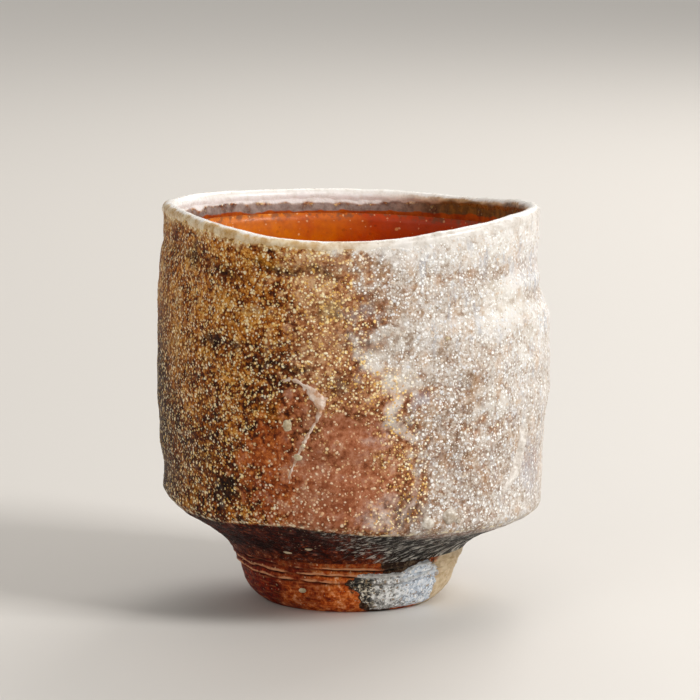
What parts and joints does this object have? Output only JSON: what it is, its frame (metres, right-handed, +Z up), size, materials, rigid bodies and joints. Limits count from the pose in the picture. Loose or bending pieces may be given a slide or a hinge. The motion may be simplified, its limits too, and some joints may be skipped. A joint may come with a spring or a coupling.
{
  "type": "yunomi tea cup",
  "caption": "Handleless stoneware tea cup with a softly squared rim, a keeled lower wall and a turned foot ring, lined with a glossy glaze.",
  "frame": {"origin": "the level of the foot face that the cup stands on, under the middle of the cup's width and depth; the axis of the foot is 1 mm towards -X of it", "axes": "+Z up along the cup's axis, -Y towards the front that the picture shows"},
  "size_m": [0.086, 0.0862, 0.0869],
  "materials": {
    "fired_clay": "wood-fired clay under speckled cream and brown fly ash, semi-gloss",
    "foot_clay": "bare orange-red fired clay with turning grooves",
    "liner": "glossy orange-red glaze",
    "lip": "glossy cream-white glaze thinning to tan",
    "foot_ash": "grey-white ash glaze with a raised pale edge",
    "feldspar": "melted cream feldspar",
    "ash_bead": "glossy melted ash",
    "torn_clay": "pale torn clay",
    "ash_crust": "white ash crust"
  },
  "bodies": {
    "root": {"clay_body": "fired_clay", "foot_ring": "foot_clay", "liner_glaze": "liner", "lip_glaze": "lip", "foot_ash_glaze": "foot_ash", "feldspar_stones": "feldspar", "ash_beads": "ash_bead", "clay_flap": "torn_clay", "ash_run": "ash_crust"}
  },
  "joints": []
}
